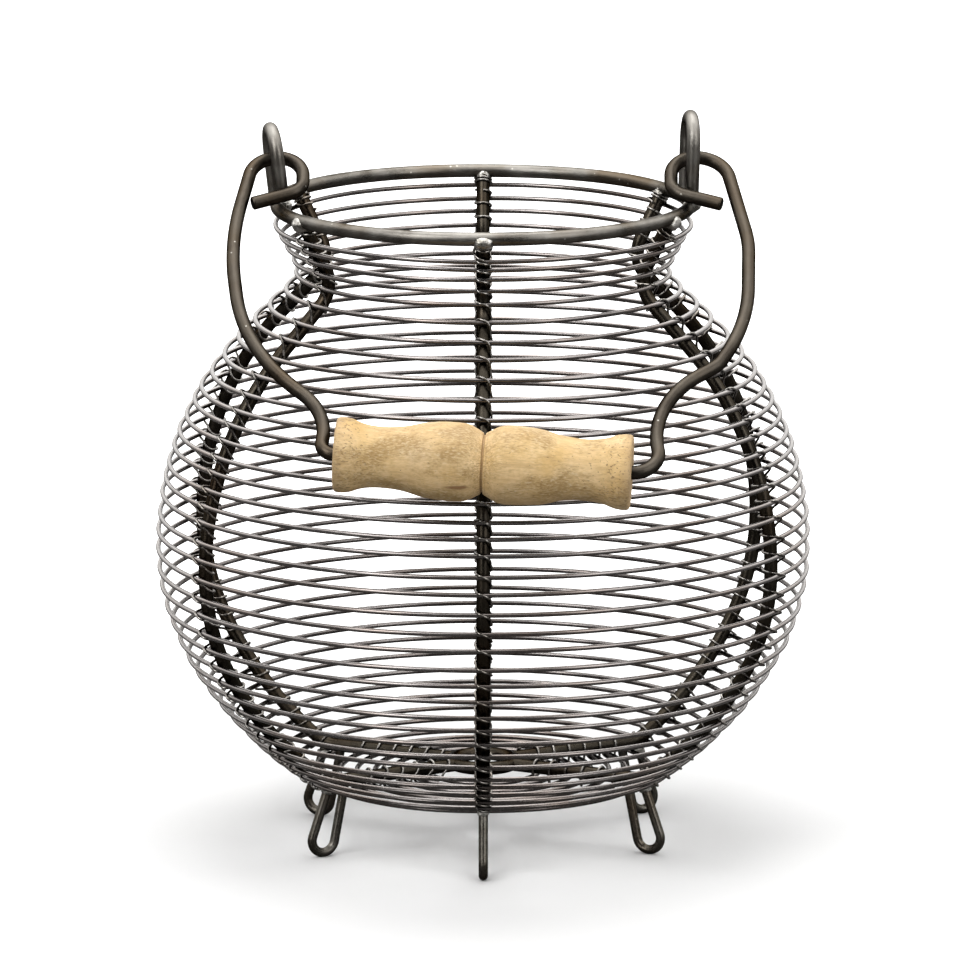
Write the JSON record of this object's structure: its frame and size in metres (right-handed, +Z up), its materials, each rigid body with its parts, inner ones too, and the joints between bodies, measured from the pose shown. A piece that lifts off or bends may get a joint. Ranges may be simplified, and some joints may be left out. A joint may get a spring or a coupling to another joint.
{
  "type": "egg basket",
  "caption": "Round-bellied wire egg basket with a narrow neck, wire loop feet and a swinging bail with a turned wooden grip.",
  "frame": {"origin": "on the ground plane, on the vertical axis of the basket", "axes": "+Z up along the basket's axis; the bail hangs over the -Y side at rest and pivots about +X"},
  "size_m": [0.1844, 0.2007, 0.2081],
  "materials": {
    "burnished_steel": "dark burnished bare steel, satin",
    "thin_steel_wire": "drawn bare steel wire, satin",
    "binding_wire": "dark annealed binding wire",
    "turned_wood": "bare turned pale hardwood, handled and grimy"
  },
  "bodies": {
    "basket": {"base_rings": "thin_steel_wire", "centre_ring": "burnished_steel", "ear_left": "burnished_steel", "ear_right": "burnished_steel", "foot_back": "burnished_steel", "foot_back_left": "burnished_steel", "foot_back_right": "burnished_steel", "foot_front": "burnished_steel", "foot_front_left": "burnished_steel", "foot_front_right": "burnished_steel", "gathered_hoops": "thin_steel_wire", "hoop_04": "thin_steel_wire", "hoop_05": "thin_steel_wire", "hoop_06": "thin_steel_wire", "hoop_07": "thin_steel_wire", "hoop_08": "thin_steel_wire", "hoop_09": "thin_steel_wire", "hoop_10": "thin_steel_wire", "hoop_11": "thin_steel_wire", "hoop_12": "thin_steel_wire", "hoop_13": "thin_steel_wire", "hoop_14": "thin_steel_wire", "hoop_15": "thin_steel_wire", "hoop_16": "thin_steel_wire", "hoop_17": "thin_steel_wire", "hoop_18": "thin_steel_wire", "hoop_19": "thin_steel_wire", "hoop_20": "thin_steel_wire", "hoop_21": "thin_steel_wire", "hoop_22": "thin_steel_wire", "hoop_23": "thin_steel_wire", "hoop_24": "thin_steel_wire", "hoop_25": "thin_steel_wire", "hoop_26": "thin_steel_wire", "hoop_27": "thin_steel_wire", "hoop_28": "thin_steel_wire", "hoop_29": "thin_steel_wire", "hoop_30": "thin_steel_wire", "hoop_31": "thin_steel_wire", "hoop_32": "thin_steel_wire", "hoop_33": "thin_steel_wire", "hoop_34": "thin_steel_wire", "hoop_35": "thin_steel_wire", "lashing_back": "binding_wire", "lashing_back_left": "binding_wire", "lashing_back_right": "binding_wire", "lashing_front": "binding_wire", "lashing_front_left": "binding_wire", "lashing_front_right": "binding_wire", "rib_back": "burnished_steel", "rib_back_left": "burnished_steel", "rib_back_right": "burnished_steel", "rib_front": "burnished_steel", "rib_front_left": "burnished_steel", "rib_front_right": "burnished_steel", "rim_ring": "burnished_steel"},
    "bail": {"bail_wire": "burnished_steel"},
    "grip": {"wooden_grip": "turned_wood"}
  },
  "joints": [
    {"name": "bail_swing", "type": "hinge", "parent": "basket", "child": "bail", "pos_m": [0, 0, 0.1952], "axis": [-1, 0, 0], "range_deg": [0, 250]},
    {"name": "grip_spin", "type": "hinge", "parent": "bail", "child": "grip", "pos_m": [0, -0.09441, 0.12661], "axis": [0.9965, -0.0677, -0.0492], "continuous": true}
  ]
}
